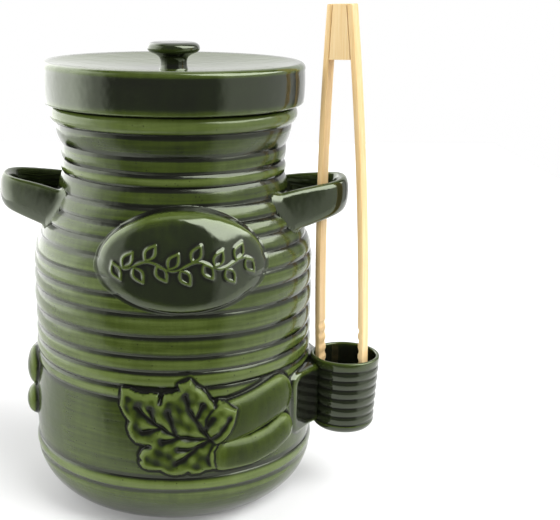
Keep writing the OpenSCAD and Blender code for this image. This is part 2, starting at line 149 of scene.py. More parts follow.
def rounded_path(points, samples):
    """A smooth curve through given points (Catmull-Rom)."""
    p = np.array(points, float)
    q = joined([2 * p[:1] - p[1:2], p, 2 * p[-1:] - p[-2:-1]])
    t = np.linspace(0, 1, samples, endpoint=False)[:, None]
    out = []
    for a, b, c, d in zip(q[:-3], q[1:-2], q[2:-1], q[3:]):
        out.append(0.5 * (2 * b + (c - a) * t + (2 * a - 5 * b + 4 * c - d) * t ** 2
                          + (3 * b - a - 3 * c + d) * t ** 3))
    return joined([*out, p[-1:]])


def arc(centre, radius, start, end, steps):
    """Points of an arc; 0 degrees is outwards and 90 degrees is up."""
    a = np.radians(np.linspace(start, end, steps))
    return np.stack([centre[0] + radius * np.cos(a), centre[1] + radius * np.sin(a)], 1)


# The crock's outer surface

def crest_radius(z):
    """Radius over the ribs."""
    z = np.asarray(z, float)
    flare_r = FLANGE_R - RIB_DEPTH
    shoulder = BELLY_R + (NECK_R - BELLY_R) * smooth((z - SHOULDER_Z) / SHOULDER_H)
    return np.select(
        [z < BAND_Z, z < BAND_TOP, z < FLARE_Z],
        [BAND_R, BAND_R + (BELLY_R - BAND_R) * (z - BAND_Z) / (BAND_TOP - BAND_Z), shoulder],
        NECK_R + (flare_r - NECK_R) * (z - FLARE_Z) / (FLANGE_Z - FLARE_Z))


RIB_STEPS = joined([[0], np.cumsum(RIB_WIDTHS)]) / sum(RIB_WIDTHS)
GROOVES = joined([[HEEL_GROOVE_Z, BAND_Z], BAND_TOP + (RIB_TOP - BAND_TOP) * RIB_STEPS])
# Some ribs stand out more than others, by up to this share
RIB_UNEVEN = 0.22
RIB_SHARE = 1 + RIB_UNEVEN * np.sin(2.3 * np.arange(len(GROOVES) - 1) + 0.5)
# Waves of the grooves' height and of the wall round the crock: size, number, shift per millimetre up, start
GROOVE_WAVES = [(0.35, 1, 0.02, 1), (0.22, 3, -0.045, 0), (0.12, 7, 0.3, 0)]
WALL_WAVES = [(0.2, 2, 0.018, 0), (0.1, 5, -0.03, 2)]


def ribbed_radius(z):
    """Radius with the thrown ribs: rounded crests between narrow grooves."""
    z = np.asarray(z, float)
    i = np.clip(np.searchsorted(GROOVES, z, "right") - 1, 0, len(GROOVES) - 2)
    low, high = GROOVES[i], GROOVES[i + 1]
    t = np.clip((z - low) / (high - low), 0, 1)
    floor = crest_radius(low) * (1 - t) + crest_radius(high) * t - RIB_DEPTH
    ribbed = floor + RIB_DEPTH * RIB_SHARE[i] * (1 - np.abs(2 * t - 1) ** RIB_FULLNESS)
    heel = FOOT_R + np.sqrt(np.maximum(HEEL_R ** 2 - (HEEL_R - np.clip(z, 0, HEEL_R)) ** 2, 0))
    heel -= HEEL_GROOVE_DEPTH * np.exp(-((z - HEEL_GROOVE_Z) / HEEL_GROOVE_W) ** 2)
    return np.where(z < HEEL_GROOVE_Z, heel, ribbed)


def waves(table, az, z):
    a = np.radians(az)
    return sum(size * np.sin(count * a + shift * z + start) for size, count, shift, start in table)


def body_radius(az, z):
    """The crock's outer surface, over the ribs."""
    return ribbed_radius(z + waves(GROOVE_WAVES, az, z)) + waves(WALL_WAVES, az, z)


def rotation(degrees, axis, size=4):
    return Matrix.Rotation(math.radians(degrees), size, axis)


def on_crock(az, r, z):
    a = np.radians(az)
    return np.stack([r * np.sin(a), -r * np.cos(a), z], -1)


# Meshes

def add_object(name, data):
    obj = bpy.data.objects.new(name, data)
    bpy.context.scene.collection.objects.link(obj)
    return obj


def add_mesh(name, points, faces, materials, thin=None, face_material=None):
    """A smooth-shaded object from points in millimetres.

    thin says how thin the glaze lies, from 0 where it pools to 1 where it is worn.
    """
    mesh = bpy.data.meshes.new(name)
    mesh.from_pydata((np.asarray(points) * MM).tolist(), [], [list(map(int, f)) for f in faces])
    mesh.shade_smooth()
    for material in materials:
        mesh.materials.append(material)
    if thin is not None:
        layer = mesh.attributes.new("thin", "FLOAT", "POINT")
        layer.data.foreach_set("value", np.asarray(thin, np.float32).ravel())
    if face_material is not None:
        mesh.polygons.foreach_set("material_index", np.asarray(face_material, np.int32))
    mesh.validate()
    return add_object(name, mesh)


def finish_piece(obj, node, body):
    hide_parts(node)
    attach(obj, body)


def glazed_piece(name, body, points, faces, material, thin):
    obj = add_mesh(name, points, faces, [material], thin)
    finish_piece(obj, name, body)


# Pooling of the glaze on turned pieces: reach along the section each way, and gain
CROCK_POOLING, CUP_POOLING, LID_POOLING, KNOB_POOLING = (3.0, 0.85), (1.4, 0.9), (3, 0.5), (1.6, 0.6)


def turned_thinness(p, columns, reach, gain):
    """Glaze thins on convex stretches of a section and pools in concave ones."""
    run = joined([[0], np.cumsum(np.hypot(*np.diff(p, axis=0).T))])
    ahead, behind = on_line(run + reach, run, p), on_line(run - reach, run, p)
    along = ahead - behind
    normal = unit(np.stack([along[:, 1], -along[:, 0]], 1))
    bulge = ((p - (ahead + behind) / 2) * normal).sum(1)
    thin = np.clip(0.5 + gain * bulge, 0, 1)
    return joined([thin[:1], np.repeat(thin[1:-1], columns), thin[-1:]])


def turned(p, columns, centre, bend):
    """Points and faces of a turned solid, whose section p runs from the axis outside and back to the axis."""
    rows = len(p) - 2
    r, z = (np.repeat(p[1:-1, k:k + 1], columns, 1) for k in (0, 1))
    az = np.repeat(np.arange(columns)[None] * 360 / columns, rows, 0)
    if bend is not None:
        r, z = bend(az, r, z)
    ring = on_crock(az, r, z).reshape(-1, 3)
    points = joined([[[0, 0, p[0, 1]]], ring, [[0, 0, p[-1, 1]]]])
    points[:, :2] += centre
    # Fans of triangles round the axis stand in for the rings' two end faces
    faces = [[1 + i for i in face] for face in ring_faces(rows, columns)[:-2]]
    last = len(points) - 1
    for col in range(columns):
        after = (col + 1) % columns
        faces.append([0, 1 + after, 1 + col])
        faces.append([last, last - columns + col, last - columns + after])
    return points, faces


def glazed_turning(profile, columns, pooling, centre=(0, 0), bend=None):
    """Points and faces of a turned piece, and how thin the glaze lies on it."""
    return *turned(profile, columns, centre, bend), turned_thinness(profile, columns, *pooling)


def closed_patch(top, back, kept):
    """A closed solid between two grids of points, over the cells whose four corners are kept."""
    keep = kept[:-1, :-1] & kept[1:, :-1] & kept[:-1, 1:] & kept[1:, 1:]
    rows, cols = keep.shape
    used = np.zeros((rows + 1, cols + 1), bool)
    for di in (0, 1):
        for dj in (0, 1):
            used[di:rows + di, dj:cols + dj] |= keep
    count = int(used.sum())
    index = np.full(used.shape, -1)
    index[used] = np.arange(count)
    points = joined([top[used], back[used]])
    i, j = np.nonzero(keep)
    quad = np.stack([index[i, j], index[i, j + 1], index[i + 1, j + 1], index[i + 1, j]], 1)
    faces = quad.tolist() + (quad[:, ::-1] + count).tolist()
    framed = np.pad(keep, 1)
    for di, dj, a, b in ((-1, 0, 0, 1), (0, 1, 1, 2), (1, 0, 2, 3), (0, -1, 3, 0)):
        open_side = ~framed[i + 1 + di, j + 1 + dj]
        p, q = quad[open_side, a], quad[open_side, b]
        faces += np.stack([q, p, p + count, q + count], 1).tolist()
    return points, faces, used


# How thin the glaze lies on the hidden back of a stuck piece
BACK_THIN = 0.3


def patch_piece(name, top, back, kept, thin, material):
    """A piece of the crock that lies on its wall: the kept places of a grid, closed at its back."""
    points, faces, used = closed_patch(top, back, kept)
    values = joined([thin[used], np.full(used.sum(), BACK_THIN)])
    glazed_piece(name, "crock", points, faces, material, values)


def ring_faces(rings, size):
    """Quads between rings of points that follow each other, and a face on each end."""
    faces = []
    for a in range(rings - 1):
        for b in range(size):
            c = (b + 1) % size
            faces.append([a * size + b, a * size + c, (a + 1) * size + c, (a + 1) * size + b])
    faces.append(list(range(size))[::-1])
    faces.append([(rings - 1) * size + b for b in range(size)])
    return faces


def swept(path, across, up, half_t, half_h, section):
    """A closed bar: a section of unit half size carried along a path, with half sizes along it."""
    points = (path[:, None] + across[:, None] * (section[None, :, :1] * half_t[:, None, None])
              + up[:, None] * (section[None, :, 1:] * half_h[:, None, None])).reshape(-1, 3)
    return points, ring_faces(len(path), len(section))


def barrel_section(fullness, steps):
    """A section between an oval and a rectangle, in shares of its half sizes."""
    a = np.radians(np.arange(steps) * 360 / steps)
    turned_a = np.stack([np.cos(a), np.sin(a)], 1)
    return np.sign(turned_a) * np.abs(turned_a) ** (2 / fullness)


def rounded_section(radius, steps):
    """A rectangle with rounded corners, in shares of its half sizes."""
    return joined([arc((sx * (1 - radius), sy * (1 - radius)), radius, start, start + 90, steps)
                   for sx, sy, start in ((1, -1, -90), (1, 1, 0), (-1, 1, 90), (-1, -1, 180))])


# Materials

def node_tree(name):
    material = bpy.data.materials.new(name)
    material.use_nodes = True
    tree = material.node_tree
    return material, tree, tree.nodes["Principled BSDF"]


def feed(tree, node, inputs):
    """Constants or links on a node's named or numbered inputs."""
    for key, value in inputs.items():
        if isinstance(value, bpy.types.NodeSocket):
            tree.links.new(value, node.inputs[key])
        else:
            node.inputs[key].default_value = value


def add_node(tree, kind, inputs=None, **settings):
    node = tree.nodes.new("ShaderNode" + kind)
    for key, value in settings.items():
        setattr(node, key, value)
    feed(tree, node, inputs or {})
    return node


def calc(tree, operation, a, b=0.0, c=0.0):
    return add_node(tree, "Math", {0: a, 1: b, 2: c}, operation=operation).outputs[0]


def object_place(tree):
    return add_node(tree, "TexCoord").outputs["Object"]


def remap(tree, value, start, end, low=0.0, high=1.0, kind="LINEAR"):
    """low where a value is at its start, high where it is at its end, and between them in between."""
    ends = {"Value": value, "From Min": start, "From Max": end, "To Min": low, "To Max": high}
    return add_node(tree, "MapRange", ends, interpolation_type=kind).outputs[0]


def noise(tree, where, scale, detail=3.0, roughness=0.55, stretch=(1, 1, 1)):
    """A noise of about `scale` waves per metre, longer along an axis with a small stretch."""
    place = add_node(tree, "Mapping", {"Vector": where, "Scale": stretch}).outputs[0]
    inputs = {"Vector": place, "Scale": scale, "Detail": detail, "Roughness": roughness}
    return add_node(tree, "TexNoise", inputs).outputs["Fac"]


def ramp(tree, value, stops):
    node = add_node(tree, "ValToRGB", {"Fac": value})
    elements = node.color_ramp.elements
    while len(elements) < len(stops):
        elements.new(0.5)
    for element, (place, colour) in zip(elements, stops):
        element.position = place
        element.color = (*colour, 1)
    return node.outputs["Color"]


def bump(tree, shader, height, depth):
    rough = add_node(tree, "Bump", {"Height": height, "Distance": depth, "Strength": 1.0})
    feed(tree, shader, {"Normal": rough.outputs[0]})


GLAZE_POOLED = (0.006, 0.006, 0.005)
GLAZE_DEEP = (0.011, 0.015, 0.006)
GLAZE_BODY = (0.034, 0.050, 0.007)
GLAZE_WORN = (0.100, 0.135, 0.034)
GLAZE_STOPS = [(0.0, GLAZE_POOLED), (0.28, GLAZE_DEEP), (0.56, GLAZE_BODY), (1.0, GLAZE_WORN)]
# Its noises (waves per metre, detail, roughness, stretch), and how much three of them change its depth
CLOUDS, RUNS, GRAIN = (22, 4), (190, 3, 0.6, (1, 1, 0.16)), (1500, 2)
TURNING_MARKS, PEEL = (160, 3, 0.6, (0.1, 0.1, 2.4)), (75, 2)
CLOUDS_SHARE, RUNS_SHARE, GRAIN_SHARE = 0.34, 0.22, 0.16
# Dark specks: cells to a metre, and where in them a speck begins and ends to fade
SPECKS, SPECK_IN, SPECK_OUT = 210.0, 0.05, 0.11
# Colour and strength of its reflections, depth of its unevenness in metres, and added roughness of clouds
GLAZE_TINT = (0.9, 1.0, 0.76)
GLAZE_INDEX, GLAZE_PEEL, GLAZE_ROUGHER = 1.70, 0.0003, 0.06


def glaze(name, level, rough, turning=0.0, ringed=0.0, index=GLAZE_INDEX):
    """Glossy green glaze that pools dark in hollows and breaks pale on edges.

    A higher level makes it thinner, and rough is its least roughness. turning is the depth in metres of the
    marks that turning left, and ringed is how much they show in its colour. index is how much it reflects.
    """
    material, tree, shader = node_tree(name)
    where = object_place(tree)
    thin = add_node(tree, "Attribute", attribute_name="thin").outputs["Fac"]
    clouds, runs, grain, marks = (noise(tree, where, *kind) for kind in (CLOUDS, RUNS, GRAIN, TURNING_MARKS))
    uneven = calc(tree, "MULTIPLY_ADD", clouds, CLOUDS_SHARE, level - CLOUDS_SHARE / 2)
    for field, share in ((runs, RUNS_SHARE), (grain, GRAIN_SHARE), (marks, ringed)):
        uneven = calc(tree, "MULTIPLY_ADD", field, share, calc(tree, "SUBTRACT", uneven, share / 2))
    colour = ramp(tree, calc(tree, "ADD", thin, uneven), GLAZE_STOPS)
    specks = add_node(tree, "TexVoronoi", {"Vector": where, "Scale": SPECKS}).outputs["Distance"]
    # The sockets of the mix go by number, because those of other data types have the same names
    mix = {0: remap(tree, specks, SPECK_IN, SPECK_OUT), 6: (*GLAZE_DEEP, 1), 7: colour}
    speckled = add_node(tree, "Mix", mix, data_type="RGBA").outputs[2]
    feed(tree, shader, {"Base Color": speckled, "IOR": index, "Specular Tint": (*GLAZE_TINT, 1),
                        "Roughness": remap(tree, clouds, 0, 1, rough, rough + GLAZE_ROUGHER)})
    peel = calc(tree, "MULTIPLY", noise(tree, where, *PEEL), GLAZE_PEEL)
    bump(tree, shader, calc(tree, "MULTIPLY_ADD", marks, turning, peel), 1.0)
    return material


GROG, PATCHES, PITS = (900, 3), (60,), (1400, 4)
BISCUIT_STOPS = [(0.36, (0.30, 0.20, 0.12)), (0.62, (0.56, 0.43, 0.29))]
BISCUIT_ROUGH, BISCUIT_DEPTH = 0.75, 0.0004


def stoneware(name):
    """Unglazed, fired clay with dark grog."""
    material, tree, shader = node_tree(name)
    where = object_place(tree)
    grog, patches, pits = (noise(tree, where, *kind) for kind in (GROG, PATCHES, PITS))
    mottled = calc(tree, "MULTIPLY_ADD", grog, 0.5, calc(tree, "MULTIPLY", patches, 0.5))
    feed(tree, shader, {"Base Color": ramp(tree, mottled, BISCUIT_STOPS), "Roughness": BISCUIT_ROUGH})
    bump(tree, shader, pits, BISCUIT_DEPTH)
    return material


FIBRES, BANDS = (900, 4, 0.65, (1, 1, 0.012)), (160, 2, 0.5, (1, 1, 0.03))
WOOD_STOPS = [(0.30, (0.62, 0.395, 0.165)), (0.46, (0.745, 0.52, 0.245)), (0.62, (0.80, 0.61, 0.34))]
WOOD_SMOOTH, WOOD_ROUGH, WOOD_SHEEN, WOOD_DEPTH = 0.36, 0.54, 0.3, 0.00025
FIBRE_SHARE, BAND_SHARE = 0.6, 0.4


def bamboo(name, shift):
    """Pale split bamboo with fine fibres along the tongs. shift is a place in the pattern."""
    material, tree, shader = node_tree(name)
    where = object_place(tree)
    moved = add_node(tree, "Mapping", {"Vector": where, "Location": (shift, 0, 0)}).outputs[0]
    fibres, bands = (noise(tree, moved, *kind) for kind in (FIBRES, BANDS))
    mixed = calc(tree, "MULTIPLY_ADD", fibres, FIBRE_SHARE, calc(tree, "MULTIPLY", bands, BAND_SHARE))
    feed(tree, shader, {"Base Color": ramp(tree, mixed, WOOD_STOPS), "Specular IOR Level": WOOD_SHEEN,
                        "Roughness": remap(tree, fibres, 0, 1, WOOD_SMOOTH, WOOD_ROUGH)})
    bump(tree, shader, fibres, WOOD_DEPTH)
    return material


# Level, least roughness, depth of the turning marks and how much they show
BODY_GLAZE = glaze("green_glaze_body", -0.05, 0.13, 0.00016, 0.5, index=1.55)
RELIEF_GLAZE = glaze("green_glaze_relief", -0.14, 0.2, index=1.3)
HANDLE_GLAZE = glaze("green_glaze_handle", -0.06, 0.08)
PLAQUE_GLAZE = glaze("green_glaze_plaque", -0.28, 0.06)
DARK_GLAZE = glaze("green_glaze_dark", -0.4, 0.06, 0.00006)
BISCUIT = stoneware("stoneware_biscuit")


# Crock

FLAT_RING, FOOT_EDGE, COLLAR_FOOT = 30, 2, 4
# Rows of points on a rib, and on the band, which is wider
RIB_ROWS, BAND_ROWS, WIDEST_RIB = 12, 24, 20


def rib(low, high):
    """Section of a rib, or of the band, with closer rows at its two grooves."""
    steps = RIB_ROWS if high - low < WIDEST_RIB else BAND_ROWS
    t = (1 - np.cos(np.pi * np.arange(steps) / steps)) / 2
    z = low + (high - low) * t
    return np.stack([ribbed_radius(z), z], 1)


def crock_profile():
    heel_end = -math.degrees(math.asin((HEEL_R - HEEL_GROOVE_Z) / HEEL_R))
    heel = arc((FOOT_R, HEEL_R), HEEL_R, -90, heel_end, 26)
    heel[:, 0] = ribbed_radius(heel[:, 1] - 1e-6)
    flange = (FLANGE_R - FLANGE_ROUND, FLANGE_Z)
    turn = math.degrees(math.acos((COLLAR_R - flange[0]) / FLANGE_ROUND))
    mouth_r, rim_z = COLLAR_R - WALL, CROCK_H - RIM_ROUND
    inner_z = np.linspace(FLARE_Z, HEEL_R + 2, 44)
    return joined([
        [(0, 0), (FLAT_RING, 0), (FOOT_R - FOOT_EDGE, 0)],
        heel[:-1],
        *map(rib, GROOVES[:-1], GROOVES[1:]),
        arc(flange, FLANGE_ROUND, -turn, turn, 18),
        [(COLLAR_R, FLANGE_Z + FLANGE_ROUND + COLLAR_FOOT)],
        arc((COLLAR_R - RIM_ROUND, rim_z), RIM_ROUND, 0, 90, 6),
        arc((mouth_r + RIM_ROUND, rim_z), RIM_ROUND, 90, 180, 6),
        [(mouth_r, FLANGE_Z)],
        np.stack([crest_radius(inner_z) - WALL, inner_z], 1),
        arc((FOOT_R, HEEL_R), HEEL_R - WALL, 0, -90, 14),
        [(FLAT_RING, WALL), (0, WALL)]])


# Heights where the foot and the rim stay true, and heights over which the hand begins to show
TRUE_FOOT, FOOT_EASE, TRUE_RIM, RIM_EASE = 6, 20, RIB_TOP + 4, 12


def thrown(az, r, z):
    """Moves a turned crock's points as the thrower's hand did; the foot and the rim stay true."""
    free = smooth((z - TRUE_FOOT) / FOOT_EASE) * smooth((TRUE_RIM - z) / RIM_EASE)
    return r + waves(WALL_WAVES, az, z) * free, z - waves(GROOVE_WAVES, az, z) * free


# Glaze darker towards the neck, and painted shade towards the heel, where darker glaze stands in for the
# shadowed floor that the heel reflects: how much, from what height and over what height
UPPER_GLAZE, UPPER_FROM, UPPER_OVER = 0.16, 140, 80
HEEL_PAINTED_SHADE, HEEL_FROM, HEEL_OVER = 0.3, 34, 26
# How high and how far past the foot the underside has no glaze
BARE_H, BARE_EDGE = 1.2, 12


def crock():
    points, faces, thin = glazed_turning(crock_profile(), TURNED_COLUMNS, CROCK_POOLING, bend=thrown)
    z = points[:, 2]
    thin = thin - UPPER_GLAZE * smooth((z - UPPER_FROM) / UPPER_OVER)
    # Painted shade: the heel is darkened for the shadowed floor it reflects
    thin = thin - HEEL_PAINTED_SHADE * smooth((HEEL_FROM - z) / HEEL_OVER)
    highest = np.array([z[f].max() for f in faces])
    reach = np.array([np.hypot(*points[f[0], :2]) for f in faces])
    bare = (highest < BARE_H) & (reach < FOOT_R + BARE_EDGE)
    obj = add_mesh("crock", points, faces, [BODY_GLAZE, BISCUIT], thin, bare)
    finish_piece(obj, "crock_body", "crock")


# Reliefs: leaf, cucumbers and plaque

REAR_TURN = -129.0
MM_PER_DEGREE = math.radians(1) * (BELLY_R + 1)
# Azimuths and heights, from the upper left tip down the left side and round
LEAF_EDGE = [
    (-19.7, 105), (-20.5, 93.3), (-18.8, 87.5), (-16.9, 83.3), (-17.5, 78.3), (-16.3, 72.5), (-14.2, 68.8),
    (-9.0, 67.4), (-11.7, 64.2), (-12.9, 60.0), (-12.3, 57.5), (-12.9, 55.2), (-11.7, 51.9), (-9.6, 50.6),
    (-5.0, 50.8), (-2.9, 48.6), (0, 47.2), (3.3, 47.9), (5.0, 49.4), (6.7, 47.8), (9.6, 48.0), (11.7, 49.6),
    (15.6, 50.0), (14.8, 57.5), (14.9, 63.3), (16.4, 67.2), (18.6, 71.0), (20.6, 76), (22.0, 81.7),
    (22.9, 86.7), (23.6, 91.2), (21.4, 93.6), (19.2, 95.8), (17.1, 96.4), (15.2, 94.4), (13.3, 98),
    (12.1, 101.7), (10.4, 105), (8.3, 107.5), (6.2, 112.2), (3.8, 110.6), (1.7, 109.4), (1.9, 105.4),
    (-0.6, 103.2), (-3.4, 102.5), (-5.0, 97.6), (-5.8, 102.4), (-8.3, 103.0), (-11.3, 102.4), (-14.2, 103.3),
    (-16.7, 104.8)]
LEAF_VEINS = [
    [(13.2, 71.5), (10.5, 78), (8, 85), (5.3, 93), (4.3, 102)],
    [(8.1, 85.5), (10.6, 95)],
    [(11.2, 77), (14, 86)],
    [(13.2, 71.5), (9, 72), (2, 73.6), (-2, 77), (-7, 83), (-11, 89), (-13.6, 93.4)],
    [(-7, 83), (-9, 92)],
    [(0.3, 75.5), (-1.2, 85), (-2, 91)],
    [(-4.8, 80), (-11.2, 76.6)],
    [(13.2, 71.5), (10, 67.8), (5, 64.7), (1.8, 65.2)],
    [(8.4, 66.5), (4, 59.5), (0.8, 56)],
    [(13.2, 71.5), (16.3, 76), (19.6, 85)],
    [(2, 73.6), (-4, 70.6)]]
LEAF_T, LEAF_ROUND, LEAF_FILLET = 3.0, 2.8, 1.5
VEIN_W, VEIN_DEPTH, LEAF_SWELL, SWELL_REACH, LEAF_RIPPLE = 1.7, 0.9, 1.3, 5.5, 0.35
# The leaf's lift over the cucumbers, how softly it bends over them, and its edge as a share of its height
LEAF_OVER, LEAF_BEND, LEAF_RIM = 1.4, 3.0, 0.35
# How steeply the sides of the leaf and of the plaque go down
LEAF_SIDE, PLAQUE_SIDE = 3.2, 2.6
# Axis of each cucumber, and its half width and how far it stands out
UPPER_CUCUMBER = [(20, 80.5), (30, 84.6), (38, 88.4), (43.6, 90.6)], 14.6, 7.0
LOWER_CUCUMBER = [(19, 59), (30, 59.2), (39, 62), (45.8, 66.2)], 11.0, 7.0


def unrolled(points):
    """Azimuths and heights as widths and heights in millimetres."""
    return [(a * MM_PER_DEGREE, z) for a, z in points]


def cucumber_height(axis, half_w, proud, az, z):
    """Height of a half-sunk, round-ended cucumber over the band; negative beside it."""
    d = to_segments(unrolled(axis), az * MM_PER_DEGREE, z) / half_w
    return np.where(d < 1, proud * np.sqrt(np.maximum(1 - d * d, 0)), -proud * (d - 1) * 2)


def upper_height(az, z):
    return cucumber_height(*UPPER_CUCUMBER, az, z)


def lower_height(az, z):
    return cucumber_height(*LOWER_CUCUMBER, az, z)


def leaf_distance(az, z):
    """Distance to the leaf's edge, positive within the leaf."""
    edge = unrolled(LEAF_EDGE)
    x = az * MM_PER_DEGREE
    d = to_segments(edge + edge[:1], x, z)
    return np.where(inside_outline(edge, x, z), d, -d)


def leaf_height(az, z):
    """Height of the leaf, which swells between its incised veins and lies over the cucumbers' ends."""
    d = leaf_distance(az, z)
    x = az * MM_PER_DEGREE
    vein = np.min([to_segments(unrolled(line), x, z) for line in LEAF_VEINS], 0)
    swell = LEAF_SWELL * smooth(vein / SWELL_REACH) - VEIN_DEPTH * np.exp(-(vein / VEIN_W) ** 2)
    ripple = LEAF_RIPPLE * np.sin(0.55 * x + 0.3 * z) * np.sin(0.42 * z - 0.2 * x + 1)
    under = np.maximum(upper_height(az, z), lower_height(az, z)) + LEAF_OVER
    top = smooth_max(LEAF_T, under, LEAF_BEND) + (swell + ripple) * smooth(d / 3)
    within = top * (LEAF_RIM + (1 - LEAF_RIM) * quarter_round(d / LEAF_ROUND))
    return np.where(d > 0, within, LEAF_RIM * top + LEAF_SIDE * d)


# The reliefs' ground over the band's crest, and about how steeply a cucumber's height falls beside it
BAND_LIFT, CUCUMBER_FALL = 0.1, 1.1


def over_band(height):
    """The radius of a relief that has this height over the band."""
    return lambda az, z: crest_radius(z) + BAND_LIFT + height(az, z)


def beside(height):
    """About the distance inwards from the edge of a cucumber that has this height."""
    return lambda az, z: np.where(height(az, z) > 0, 1, height(az, z) / CUCUMBER_FALL)


# A relief's grid, depth of its back, lift off the ground, and the width, dip and easing of its hem
PATCH_STEP, PATCH_BACK, PATCH_LIFT, PATCH_HEM, HEM_DIP, HEM_EASE = 0.6, 2.5, 0.05, 4.0, 0.4, 1.5
# Reach and gain of the pooling on reliefs
RELIEF_POOLING = 1.6, 1.3


def relief(name, span, rise, turn, surface, under, near, material, fillet):
    """A relief on the crock's wall.

    surface gives its radius, under that of what it lies on, and near the distance inwards from its edge.
    """
    columns = int((span[1] - span[0]) * MM_PER_DEGREE / PATCH_STEP)
    az, z = np.meshgrid(np.linspace(*span, columns), np.arange(*rise, PATCH_STEP))
    ground, relief_r = under(az, z), surface(az, z)
    top = smooth_max(ground, relief_r, fillet)
    hem = near(az, z)
    # Beside the relief the patch lies just over the ground, and its outer edge dips under it
    top = top + PATCH_LIFT - HEM_DIP * smooth((-hem - PATCH_HEM + HEM_EASE) / HEM_EASE)
    reach, gain = RELIEF_POOLING
    thin = np.clip(0.5 - gain * (blurred(top, reach / PATCH_STEP) - top), 0, 1)
    back = np.minimum(ground, body_radius(az, z)) - PATCH_BACK
    patch_piece(name, on_crock(az + turn, top, z), on_crock(az + turn, back, z), hem > -PATCH_HEM, thin,
                material)


def relief_group(place, turn):
    """A leaf and its two cucumbers."""
    upper, lower, leaf = (over_band(height) for height in (upper_height, lower_height, leaf_height))

    def ground(az, z):
        return body_radius(az + turn, z)

    def under_leaf(az, z):
        return smooth_max(ground(az, z), np.maximum(upper(az, z), lower(az, z)), LEAF_FILLET)

    for piece, span, rise, surface, under, near in (
            ("upper_cucumber", (8, 58), (62, 112), upper, ground, beside(upper_height)),
            ("lower_cucumber", (6, 58), (40, 86), lower, ground, beside(lower_height)),
            ("leaf", (-26, 29), (38, 119), leaf, under_leaf, leaf_distance)):
        relief(f"{place}_{piece}", span, rise, turn, surface, under, near, RELIEF_GLAZE, LEAF_FILLET)


PLAQUE_AZ, PLAQUE_Z, PLAQUE_W, PLAQUE_H = 4.0, 187.0, 110.0, 61.0
PLAQUE_DOME, PLAQUE_PROUD, PLAQUE_DROP, PLAQUE_FILLET = 75.0, 4.5, 12.0, 2.6
# Width of the plaque's rounded edge, and its fall as a share of that
PLAQUE_ROUND, PLAQUE_FALL = 6.0, 0.4


def plaque_distance(az, z):
    """Distance to the oval's edge, positive within it."""
    x = np.sin(np.radians(az - PLAQUE_AZ)) * BELLY_R / (PLAQUE_W / 2)
    y = (z - PLAQUE_Z) / (PLAQUE_H / 2)
    q = np.hypot(x, y)
    slope = np.hypot(x / (PLAQUE_W / 2), y / (PLAQUE_H / 2)) / np.maximum(q, 1e-6)
    return (1 - q) / np.maximum(slope, 1 / PLAQUE_W)


def plaque_radius(az, z):
    a = np.radians(az - PLAQUE_AZ)
    centre = BELLY_R + PLAQUE_PROUD - PLAQUE_DOME
    rise = z - PLAQUE_Z + PLAQUE_DROP
    beyond = PLAQUE_DOME ** 2 - rise ** 2 - (centre * np.sin(a)) ** 2
    dome = centre * np.cos(a) + np.sqrt(np.maximum(beyond, 1))
    d = plaque_distance(az, z)
    fall = PLAQUE_ROUND * PLAQUE_FALL * (1 - quarter_round(d / PLAQUE_ROUND))
    garland = garland_height(np.sin(a) * BELLY_R, z - PLAQUE_Z)
    return dome - fall + garland + np.where(d < 0, PLAQUE_SIDE * d, 0)


# A raised garland across the plaque: a wavy stem with leaves on both sides
GARLAND_HALF, GARLAND_WAVES, GARLAND_SWING = 44.0, 3.0, 2.6
LEAFLETS, LEAFLET_L, LEAFLET_W, LEAFLET_TURN = 13, 10.5, 3.0, 58.0
RIDGE_H, RIDGE_W = 1.0, 1.0


def stem_height(u):
    return GARLAND_SWING * np.sin(math.pi * GARLAND_WAVES * u / GARLAND_HALF)


def leaflet(u, side):
    """Outline of one leaf that grows from the stem, up where side is 1 and down where it is -1."""
    t = np.linspace(0, 1, 9)
    half = LEAFLET_W * np.sin(np.pi * t) * (1.25 - 0.5 * t)
    along = joined([t, t[-2::-1]]) * LEAFLET_L
    across = joined([half, -half[-2::-1]])
    a = math.radians(side * LEAFLET_TURN)
    base = np.array([u, stem_height(u) + side * RIDGE_W])
    turn = np.array([[math.cos(a), math.sin(a)], [-math.sin(a), math.cos(a)]])
    return (np.stack([along, across], 1) @ turn + base).tolist()


def garland_height(u, v):
    """Height of the garland's ridges at a place on the plaque, across and up from its middle."""
    stem = np.linspace(-GARLAND_HALF, GARLAND_HALF, 45)
    near = to_segments(np.stack([stem, stem_height(stem)], 1).tolist(), u, v)
    for i, root in enumerate(np.linspace(-GARLAND_HALF, GARLAND_HALF - LEAFLET_L / 2, LEAFLETS)):
        near = np.minimum(near, to_segments(leaflet(root, 1 if i % 2 else -1), u, v))
    return RIDGE_H * np.exp(-(near / RIDGE_W) ** 2)


# Handles

HANDLE_UP, HANDLE_RISE, HANDLE_TURN, HANDLE_REACH = 38.0, 12.5, 4.5, 120.0
HANDLE_Z = SHOULDER_Z + HANDLE_UP
STRAP_H, STRAP_T, STRAP_BEND, STRAP_END, STRAP_SPREAD = 22.0, 8.5, 18.0, 8.0, 22.0
# Length of a leg with its hidden end, points on half of the loop, and rounds of smoothing
LEG_L, LOOP_POINTS, LOOP_ROUNDS = 46, 40, 12
# Fullness of the strap's rounded section, and how far it swells outwards, and up and down
STRAP_FULLNESS, STRAP_CROWN, STRAP_FULL_H = 2.3, 0.6, 0.6
# Distance from the wall where the roots begin to flare, and how much thicker and taller they get
ROOT_FLARE, ROOT_THICKER, ROOT_TALLER = 34.0, 0.1, 0.2
# The hollow curve at the roots: radius, points of a leg set closer for it, and rounds to find it
ROOT_HOLLOW, LEG_POINTS, LEG_STEP, HOLLOW_ROUNDS, HOLLOW_PACE = 4.5, 16, 0.4, 40, 0.25
# How thin the glaze lies on the strap, how much thinner on its edges and thicker at its roots
STRAP_THIN, EDGE_THINNER, ROOT_THICK_GLAZE = 0.36, 0.4, 0.1


